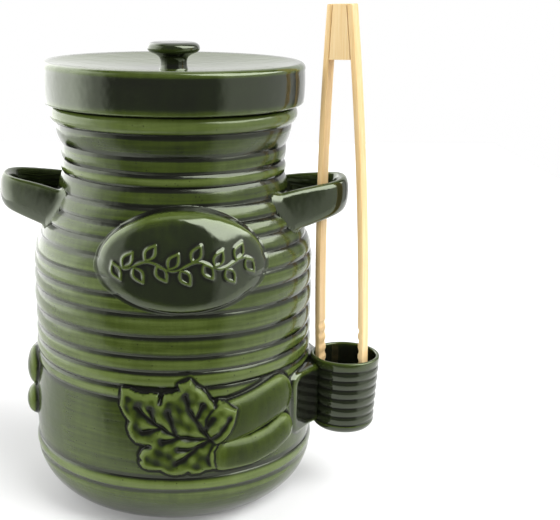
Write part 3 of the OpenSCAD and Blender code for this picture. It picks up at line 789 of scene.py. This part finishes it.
def handle_plan():
    """Middle line of the loop in its own plane, along +X, from one root to the other."""
    bend = (HANDLE_REACH - STRAP_T / 2 - STRAP_BEND, STRAP_END / 2)
    corner = arc(bend, STRAP_BEND, 0, 90 - STRAP_SPREAD, 16)
    spread = math.radians(STRAP_SPREAD)
    inwards = np.array([-math.cos(spread), math.sin(spread)])
    leg = corner[-1] + np.linspace(0, 1, 22)[1:, None] * LEG_L * inwards
    half = joined([[(HANDLE_REACH - STRAP_T / 2, 0)], corner, leg])
    run = joined([[0], np.cumsum(np.hypot(*np.diff(half, axis=0).T))])
    half = on_line(np.linspace(0, run[-1], LOOP_POINTS), run, half)
    line = joined([half[:0:-1] * [1, -1], half])
    for _ in range(LOOP_ROUNDS):
        line[1:-1] = (line[:-2] + 2 * line[1:-1] + line[2:]) / 4
    return line


def fine_legs(plan):
    """The plan with closer points on its two straight legs, where the roots are."""
    last = len(plan) - 1
    leg = np.arange(0, LEG_POINTS, LEG_STEP)
    where = joined([leg, np.arange(LEG_POINTS, last - LEG_POINTS + 1), last - leg[::-1]])
    return on_line(where, np.arange(last + 1), plan)


def root_fillet(rings, across, up, section):
    """The strap's rings, spread near the crock so that the strap runs into its wall in a hollow curve."""
    side = unit(np.sign(section) * np.abs(section) ** (STRAP_FULLNESS - 1) / [STRAP_T, STRAP_H])
    outward = across[:, None] * side[None, :, :1] + up[:, None] * side[None, :, 1:]
    spread = np.zeros(rings.shape[:2])
    for _ in range(HOLLOW_ROUNDS):
        moved = rings + outward * spread[..., None]
        away = np.hypot(moved[..., 0], moved[..., 1]) - crest_radius(moved[..., 2]) + RIB_DEPTH / 2
        hollow = ROOT_HOLLOW * (1 - quarter_round(np.abs(away) / ROOT_HOLLOW))
        spread += HOLLOW_PACE * (hollow - spread)
    return rings + outward * spread[..., None]


def handle(name, turn):
    """A strap bent to a loop that climbs outwards from the neck, with upright faces and flared roots."""
    plan = fine_legs(handle_plan())
    along = unit(np.gradient(plan, axis=0))
    root = smooth(1 - (np.hypot(*plan.T) - crest_radius(HANDLE_Z)) / ROOT_FLARE)
    climb = math.tan(math.radians(HANDLE_RISE))
    spin = np.array(rotation(turn, "Z", 3))
    path = np.column_stack([plan, HANDLE_Z + climb * (plan[:, 0] - NECK_R)]) @ spin.T
    across = np.column_stack([along[:, 1], -along[:, 0], climb * along[:, 1]]) @ spin.T
    up = np.array([[0.0, 0.0, 1.0]])
    section = barrel_section(STRAP_FULLNESS, 36)
    half_t = (STRAP_T + STRAP_CROWN) / 2 * (1 + ROOT_THICKER * root)
    half_h = (STRAP_H / 2 + STRAP_FULL_H) * (1 + ROOT_TALLER * root)
    points, faces = swept(path + STRAP_CROWN * across, across, up, half_t, half_h, section)
    points = root_fillet(points.reshape(len(path), -1, 3), across, up, section).reshape(-1, 3)
    thin = STRAP_THIN + EDGE_THINNER * np.abs(section[:, 1]) ** 6
    thin = np.repeat(thin[None], len(path), 0) - ROOT_THICK_GLAZE * root[:, None]
    glazed_piece(name, "crock", points, faces, HANDLE_GLAZE, np.clip(thin, 0, 1))


# Tong cup

CUP_LOW, CUP_HIGH = node_box("tong_cup")
CUP_CENTRE = (CUP_LOW + CUP_HIGH)[:2] / 2
CUP_Z, CUP_TOP = CUP_LOW[2], CUP_HIGH[2]
CUP_R, CUP_LOW_R, CUP_WALL, CUP_FLOOR = 24.3, 22.0, 2.7, 6.0
CUP_ROUND, CUP_LIP = 7.0, 6.5
CUP_RIBS, CUP_RIB_DEPTH, CUP_RIB_ROWS, CUP_RIB_SHAPE = 6, 0.9, 10, 0.8
CUP_AZ = math.degrees(math.atan2(CUP_CENTRE[0], -CUP_CENTRE[1]))


def cup_profile():
    low, high = CUP_Z + CUP_ROUND, CUP_TOP - CUP_LIP
    floor_z, lip = CUP_Z + CUP_FLOOR, CUP_WALL / 2
    t = np.arange(CUP_RIBS * CUP_RIB_ROWS) / (CUP_RIBS * CUP_RIB_ROWS)
    bulge = CUP_RIB_DEPTH * np.abs(np.sin(np.pi * CUP_RIBS * t)) ** CUP_RIB_SHAPE
    outer = CUP_LOW_R - CUP_RIB_DEPTH + (CUP_R - CUP_LOW_R) * t + bulge
    down = np.linspace(1, 0, 14)[1:]
    inner = CUP_LOW_R - CUP_WALL + (CUP_R - CUP_LOW_R) * down
    return joined([
        [(0, CUP_Z), (10, CUP_Z)],
        arc((CUP_LOW_R - CUP_ROUND, low), CUP_ROUND, -90, -6, 10),
        np.stack([outer, low + (high - low) * t], 1),
        [(CUP_R - CUP_RIB_DEPTH, high), (CUP_R - 0.2, high + 1)],
        arc((CUP_R - lip, CUP_TOP - lip), lip, 0, 180, 12),
        np.stack([inner, floor_z + 2 + (CUP_TOP - lip - floor_z - 2) * down], 1),
        [(CUP_LOW_R - CUP_WALL - 2, floor_z), (0, floor_z)]])


def tong_cup():
    points, faces, thin = glazed_turning(cup_profile(), SMALL_COLUMNS, CUP_POOLING, CUP_CENTRE)
    glazed_piece("tong_cup", "crock", points, faces, DARK_GLAZE, thin)


SADDLE_HALF, SADDLE_EDGE, SADDLE_ROUND = 43.0, 3.0, 9.0
SADDLE_SWELL, SADDLE_NECK, SADDLE_REACH = 23.0, 16.0, 8.0
# Width of its soft edge, fillet at the wall, hem with its dip, and grid
SADDLE_SOFT, SADDLE_FILLET, SADDLE_HEM, SADDLE_DIP = 3, 1.6, 3.6, 0.3
SADDLE_MARGIN, SADDLE_COLUMNS, SADDLE_STEP = 4, 150, 0.7
# Thinness of its glaze, and reach in cells and gain of its pooling
SADDLE_THIN, SADDLE_POOL_CELLS, SADDLE_POOL_GAIN = 0.42, 2.5, 1.2


def saddle():
    """The clay that joins the cup to the crock: a thin pad that swells to the cup's sides."""
    low, high = CUP_Z + CUP_ROUND, CUP_TOP - CUP_LIP / 2
    side = SADDLE_HALF + SADDLE_MARGIN
    heights = np.arange(low - SADDLE_MARGIN, high + SADDLE_MARGIN, SADDLE_STEP)
    x, z = np.meshgrid(np.linspace(-side, side, SADDLE_COLUMNS), heights)
    past_side = np.maximum(np.abs(x) - SADDLE_HALF + SADDLE_ROUND, 0)
    past_end = np.maximum(np.abs(z - (low + high) / 2) - (high - low) / 2 + SADDLE_ROUND, 0)
    near = SADDLE_ROUND - np.hypot(past_side, past_end)
    wall = np.sqrt(crest_radius(z) ** 2 - x ** 2)
    edge_y = math.sqrt(BELLY_R ** 2 - SADDLE_HALF ** 2) + SADDLE_EDGE
    pad = np.interp(np.abs(x), [SADDLE_NECK, SADDLE_SWELL, SADDLE_HALF],
                    [BELLY_R + SADDLE_REACH, BELLY_R + SADDLE_EDGE, edge_y])
    height = (blurred(pad, 3) - wall) * quarter_round(near / SADDLE_SOFT) + np.where(near < 0, 2 * near, 0)
    az = np.degrees(np.arctan2(x, wall))
    ground = np.sqrt(np.maximum(body_radius(az + CUP_AZ, z) ** 2 - x ** 2, 0))
    out = smooth_max(ground, wall + height, SADDLE_FILLET) - SADDLE_DIP * smooth((-near - 2) / HEM_EASE)
    thin = np.clip(SADDLE_THIN - SADDLE_POOL_GAIN * (blurred(out, SADDLE_POOL_CELLS) - out), 0, 1)
    turn = np.array(rotation(CUP_AZ, "Z", 3))
    top = np.stack([x, -out, z], -1) @ turn.T
    back = np.stack([x, -(ground - PATCH_BACK), z], -1) @ turn.T
    patch_piece("tong_cup_saddle", top, back, near > -SADDLE_HEM, thin, DARK_GLAZE)


# Lid and knob

LID_SKIRT, LID_DISH, LID_ROUND, LID_LOW_ROUND, LID_PLATE = 5.0, 6.0, 4.0, 1.8, 8.0
LID_LOW, LID_TOP = node_box("lid")[0][2], CROCK_H + LID_PLATE
LID_R = node_box("lid")[1][0]
PLUG_CLEARANCE, PLUG_EDGE = 1.5, 0.8
PLUG_R = COLLAR_R - WALL - PLUG_CLEARANCE
# The lid's side bulges by this much between its edges
LID_BULGE = 0.25
KNOB_TOP = node_box("lid_knob")[1][2]
# Radii and heights from the dish up
KNOB_OUTLINE = [
    (0, 0.0), (9.9, 0.0), (9.5, 1.0), (9.1, 3.2), (9.2, 6.2), (10.4, 8.6), (13.4, 10.4), (16.2, 11.6),
    (17.6, 13.2), (17.6, 15.0), (16.4, 16.9), (13.6, 18.0), (8.0, 18.2), (0, 18.0)]
KNOB_H = 18.2


def lid_profile():
    dish_r = LID_R - LID_ROUND
    dish_z = LID_TOP - LID_DISH
    curve = (dish_r ** 2 + LID_DISH ** 2) / (2 * LID_DISH)
    inner, skirt_z = LID_R - LID_SKIRT, LID_LOW + LID_LOW_ROUND
    half = LID_SKIRT / 2 - LID_LOW_ROUND
    under = np.append(np.linspace(0, PLUG_R - 1, 12), PLUG_R)
    under_z = dish_z - LID_PLATE + under ** 2 / (2 * curve)
    under_z[-1] += PLUG_EDGE
    z = np.linspace(LID_LOW + 5, LID_TOP - LID_ROUND - 1, 8)
    t = (z - z[0]) / (z[-1] - z[0])
    dish = np.linspace(dish_r - 2, 0, 30)
    return joined([
        np.stack([under, under_z], 1),
        [(PLUG_R, CROCK_H), (inner - 2, CROCK_H), (inner, CROCK_H - 2)],
        arc((inner + LID_LOW_ROUND, skirt_z), LID_LOW_ROUND, 180, 270, 7),
        arc((LID_R - LID_LOW_ROUND - half, skirt_z), LID_LOW_ROUND, -90, -10, 8),
        np.stack([LID_R - LID_BULGE + LID_BULGE * np.sin(np.pi * t), z], 1),
        arc((LID_R - LID_ROUND, LID_TOP - LID_ROUND), LID_ROUND, 0, 78, 10),
        np.stack([dish, dish_z + dish ** 2 / (2 * curve)], 1)])


# How much paler the lid's top is painted than its skirt, with thinner glaze: painted light, standing in for
# the pale reflection on the top
LID_TOP_PAINTED_LIGHT = 0.6


def lid():
    points, faces, thin = glazed_turning(lid_profile(), TURNED_COLUMNS, LID_POOLING)
    # Painted light: the lid's top, inside its rounded edge, is given paler, thinner glaze
    inside = smooth((LID_R - LID_ROUND - np.hypot(points[:, 0], points[:, 1])) / 4)
    top = inside * (points[:, 2] > LID_TOP - LID_DISH - 1)
    glazed_piece("lid", "lid", points, faces, DARK_GLAZE, thin + LID_TOP_PAINTED_LIGHT * top)


def knob():
    low = LID_TOP - LID_DISH
    scale = (KNOB_TOP - low) / KNOB_H
    profile = joined([KNOB_OUTLINE[:1], rounded_path(KNOB_OUTLINE[1:-1], 5), KNOB_OUTLINE[-1:]])
    profile = profile * [1, scale] + [0, low]
    points, faces, thin = glazed_turning(profile, SMALL_COLUMNS, KNOB_POOLING)
    glazed_piece("lid_knob", "lid", points, faces, DARK_GLAZE, thin)


# Tongs

TONGS_L, ARM_W, ARM_T, TONGS_SPAN, TONGS_WIDEST, ARM_BOW = 287.5, 11.0, 3.9, 36.0, 69.0, 2590.0
WEDGE_L, GLUE_GAP, TONGS_TURN, TONGS_LEAN = 35.5, 0.2, 30.0, 1.95
TIP_SHIFT, TIP_GAP, GRIP_NOTCHES, GRIP_PITCH, GRIP_DEPTH = 0.9, 0.3, 9, 7.4, 0.8
# Rounding of the ends, of the long edges in shares of the half sizes, and angle of a sharp edge
END_EASE, END_ROUND, ARM_EDGE, WEDGE_EDGE, WOOD_SHARP = 0.5, 0.8, 0.22, 0.08, math.radians(40)


def bow(z):
    """Distance of an arm's outer face from the middle of the tongs."""
    return TONGS_SPAN / 2 - (z - TONGS_WIDEST) ** 2 / (2 * ARM_BOW)


def in_cup(points):
    """Points of the drawing of the tongs, x across, y deep and z up from the tips, where they stand."""
    tip_z = CUP_Z + CUP_FLOOR + TIP_GAP + (bow(0) + ARM_W / 2) * math.sin(math.radians(TONGS_LEAN))
    turn = rotation(-TONGS_LEAN, "Y") @ rotation(-TONGS_TURN, "Z")
    place = np.array(Matrix.Translation((CUP_CENTRE[0] - TIP_SHIFT, CUP_CENTRE[1], tip_z)) @ turn)
    return np.asarray(points) @ place[:3, :3].T + place[:3, 3]


def wooden_bar(name, left, right, z, round_edge, material):
    """A bar along the tongs, with its left and right face at each height."""
    section = rounded_section(round_edge, 4)
    middle = np.stack([(left + right) / 2, 0 * z, z], 1)
    across, up = np.array([[[1.0, 0, 0]], [[0, 1.0, 0]]])
    points, faces = swept(middle, across, up, (right - left) / 2, np.full(len(z), ARM_W / 2), section)
    obj = add_mesh(name, in_cup(points), faces, [material])
    obj.data.set_sharp_from_angle(angle=WOOD_SHARP)
    return obj


def arm_heights():
    """Heights along an arm: rounded ends, close steps at the grip notches and long ones above."""
    grip = np.arange(0.8, GRIP_PITCH * (GRIP_NOTCHES + 1), 0.4)
    return joined([[0, 0.15, 0.4], grip, np.linspace(grip[-1] + 2, TONGS_L - 2, 70),
                   TONGS_L - np.array([0.8, 0.3, 0.1, 0])])


def arm(name, side, material):
    """A bowed arm with grip notches."""
    z = arm_heights()
    from_notch = np.abs(z - GRIP_PITCH * np.clip(np.round(z / GRIP_PITCH), 1, GRIP_NOTCHES))
    radius = GRIP_PITCH / 2
    notch = np.maximum(np.sqrt(np.maximum(radius ** 2 - from_notch ** 2, 0)) - radius + GRIP_DEPTH, 0)
    end = np.minimum(z, TONGS_L - z)
    ease = END_EASE * (1 - quarter_round(end / END_ROUND))
    outer, inner = bow(z) - ease, bow(z) - ARM_T + notch + ease
    left, right = (inner, outer) if side > 0 else (-outer, -inner)
    obj = wooden_bar(name, left, right, z, ARM_EDGE, material)
    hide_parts(name)
    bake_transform(obj)


def wedge(material):
    z = joined([[0, 0.2, 0.6], np.linspace(2, WEDGE_L - 2, 12), WEDGE_L - np.array([0.6, 0.2, 0])])
    z = z + TONGS_L - WEDGE_L
    right = bow(z) - ARM_T - GLUE_GAP
    obj = wooden_bar("tongs_wedge", -right, right, z, WEDGE_EDGE, material)
    finish_piece(obj, "tongs_wedge", "tongs_head")


# Weights

WEIGHT_CLEARANCE, WEIGHT_T, FINGER_R, WEIGHT_GAP, WEIGHT_ROUND = 2.0, 18.0, 16.0, 2.0, 3.0
WEIGHT_R = FOOT_R - WEIGHT_CLEARANCE
WEIGHT_SHARP = math.radians(50)


def weight(name, side):
    """Half of a round stone with a finger hole, with rounded edges."""
    edge = WEIGHT_GAP / 2
    start, end = (math.degrees(math.asin(edge / r)) for r in (WEIGHT_R, FINGER_R))
    outline = joined([arc((0, 0), WEIGHT_R, -90 + start, 90 - start, 64),
                      arc((0, 0), FINGER_R, 90 - end, -90 + end, 32)])
    along = np.roll(outline, -1, 0) - np.roll(outline, 1, 0)
    inward = unit(np.stack([-along[:, 1], along[:, 0]], 1))
    rings = []
    for a in np.radians(np.linspace(-90, 90, 9)):
        inset = WEIGHT_ROUND * (1 - math.cos(a))
        rise = WEIGHT_ROUND * (1 + math.sin(a)) if a <= 0 else WEIGHT_T - WEIGHT_ROUND * (1 - math.sin(a))
        ring = outline + inward * inset
        rings.append(np.column_stack([ring * [side, 1], np.full(len(ring), WALL + rise)]))
    faces = [face[::side] for face in ring_faces(len(rings), len(outline))]
    obj = add_mesh(name, joined(rings), faces, [BISCUIT])
    obj.data.set_sharp_from_angle(angle=WEIGHT_SHARP)
    finish_piece(obj, name, name)


# Stage, light and camera

FLOOR_FRONT, FLOOR_SIDE, FLOOR_BACK = 0.30, 0.7, 1.6
# Where the floor begins to fade out in front of the object, in metres
FLOOR_FADE = 0.11
FLOOR_WHITE, FLOOR_LIFT, FLOOR_ROUGH = 0.74, 0.08, 0.9


def rays(tree, *kinds):
    """1 on rays of these kinds, and 0 on other rays."""
    path = add_node(tree, "LightPath").outputs
    seen = 0.0
    for kind in kinds:
        seen = calc(tree, "MAXIMUM", seen, path[f"Is {kind} Ray"])
    return seen


def floor():
    corners = [(-FLOOR_SIDE, -FLOOR_FRONT, 0), (FLOOR_SIDE, -FLOOR_FRONT, 0), (FLOOR_SIDE, FLOOR_BACK, 0),
               (-FLOOR_SIDE, FLOOR_BACK, 0)]
    mesh = bpy.data.meshes.new("floor")
    mesh.from_pydata(corners, [], [(0, 1, 2, 3)])
    obj = add_object("floor", mesh)
    material, tree, shader = node_tree("pale_floor")
    depth = add_node(tree, "SeparateXYZ", {0: object_place(tree)}).outputs[1]
    seen = rays(tree, "Camera", "Glossy", "Transmission")
    feed(tree, shader, {"Base Color": (FLOOR_WHITE, FLOOR_WHITE, FLOOR_WHITE, 1), "Roughness": FLOOR_ROUGH,
                        "Specular IOR Level": 0, "Emission Color": (1, 1, 1, 1),
                        "Emission Strength": calc(tree, "MULTIPLY", seen, FLOOR_LIFT),
                        "Alpha": remap(tree, depth, -FLOOR_FRONT, -FLOOR_FADE, kind="SMOOTHSTEP")})
    mesh.materials.append(material)


# Soft boxes round the object: azimuths, elevations, softness of the edges, slant and strength
SOFT_BOXES = [
    (-165, -82, -30, 48, 30, 20, 0.0, 2.3),
    (-165, -58, -30, 48, 14, 20, 0.0, 0.9),
    (73, 138, 22, 66, 6, 8, 1.0, 7.0),
    (42, 125, -50, 22, 16, 12, 0.0, 0.72),
    (134, 200, -60, 70, 4, 10, 0.0, 0.85),
    (-200, -160, -60, 70, 4, 10, 0.0, 0.85)]
ZENITH, ZENITH_SOFT, ZENITH_LIGHT, ROOM_LIGHT = 62, 14, 0.6, 0.13


def ramp_up(tree, value, start, end):
    return remap(tree, value, math.radians(start), math.radians(end), kind="SMOOTHSTEP")


def between(tree, value, low, high, soft):
    return calc(tree, "MULTIPLY", ramp_up(tree, value, low - soft / 2, low + soft / 2),
                ramp_up(tree, value, high + soft / 2, high - soft / 2))


def studio():
    """White to the camera and through glass. The object has soft boxes, a dim room and white at its back."""
    world = bpy.data.worlds.new("studio")
    bpy.context.scene.world = world
    world.use_nodes = True
    tree = world.node_tree
    tree.nodes.clear()
    way = add_node(tree, "SeparateXYZ", {0: add_node(tree, "TexCoord").outputs["Generated"]}).outputs
    azimuth = calc(tree, "ARCTAN2", way[0], calc(tree, "MULTIPLY", way[1], -1.0))
    elevation = calc(tree, "ARCSINE", way[2])
    overhead = ramp_up(tree, elevation, ZENITH, ZENITH + ZENITH_SOFT)
    light = calc(tree, "MULTIPLY_ADD", overhead, ZENITH_LIGHT, ROOM_LIGHT)
    for left, right, low, high, soft_az, soft_el, slant, strength in SOFT_BOXES:
        leaning = calc(tree, "MULTIPLY_ADD", elevation, slant, azimuth)
        box = calc(tree, "MULTIPLY", between(tree, leaning, left, right, soft_az),
                   between(tree, elevation, low, high, soft_el))
        light = calc(tree, "MULTIPLY_ADD", box, strength, light)
    room, white = (add_node(tree, "Background", {"Color": (1, 1, 1, 1), "Strength": level}).outputs[0]
                   for level in (light, 1.0))
    seen = rays(tree, "Camera", "Transmission")
    mixed = add_node(tree, "MixShader", {0: seen, 1: room, 2: white}).outputs[0]
    add_node(tree, "OutputWorld", {"Surface": mixed})


FILL_AWAY, FILL_SIZE = 1.8, 0.9


def fill(name, azimuth, elevation, watts):
    """A weak, wide lamp that leaves no reflection in the glaze."""
    data = bpy.data.lights.new(name, "AREA")
    data.size, data.energy = FILL_SIZE, watts
    obj = add_object(name, data)
    obj.visible_camera = obj.visible_glossy = False
    turn = rotation(azimuth, "Z") @ rotation(90 - elevation, "X")
    middle = Matrix.Translation((0, 0, CROCK_H / 2 * MM))
    obj.matrix_world = middle @ turn @ Matrix.Translation((0, 0, FILL_AWAY))


CAMERA_AT = (4.37, -733.68, 360.91)
CAMERA_YAW, CAMERA_PITCH, CAMERA_ROLL = 2.566, 14.987, 0.569
CAMERA_LENS, CAMERA_SENSOR, CAMERA_SHIFT = 68.87, 36.0, 0.095


def camera():
    """Looks along +Y, turned to the right and down; the picture is rolled clockwise."""
    data = bpy.data.cameras.new("camera")
    data.lens, data.sensor_width, data.shift_x = CAMERA_LENS, CAMERA_SENSOR, CAMERA_SHIFT
    data.clip_start, data.clip_end = 0.05, 50
    obj = add_object("camera", data)
    turn = rotation(-CAMERA_YAW, "Z") @ rotation(90 - CAMERA_PITCH, "X") @ rotation(CAMERA_ROLL, "Z")
    obj.matrix_world = Matrix.Translation(Vector(CAMERA_AT) * MM) @ turn
    bpy.context.scene.camera = obj


bpy.context.scene.view_settings.view_transform = "Standard"
camera()
studio()
fill("front_fill", -32, 8, 23)
fill("right_fill", 78, 8, 4)
floor()
crock()
relief("oval_plaque", (-38, 46), (148, 226), 0, plaque_radius, body_radius, plaque_distance, PLAQUE_GLAZE,
       PLAQUE_FILLET)
relief_group("front", 0.0)
relief_group("rear", REAR_TURN)
handle("right_handle", -HANDLE_TURN)
handle("left_handle", 180 - HANDLE_TURN)
tong_cup()
saddle()
lid()
knob()
arm("tongs_left_arm", -1, bamboo("bamboo_left", 0.0))
arm("tongs_right_arm", 1, bamboo("bamboo_right", 0.3))
wedge(bamboo("bamboo_wedge", 0.7))
weight("left_weight", -1)
weight("right_weight", 1)
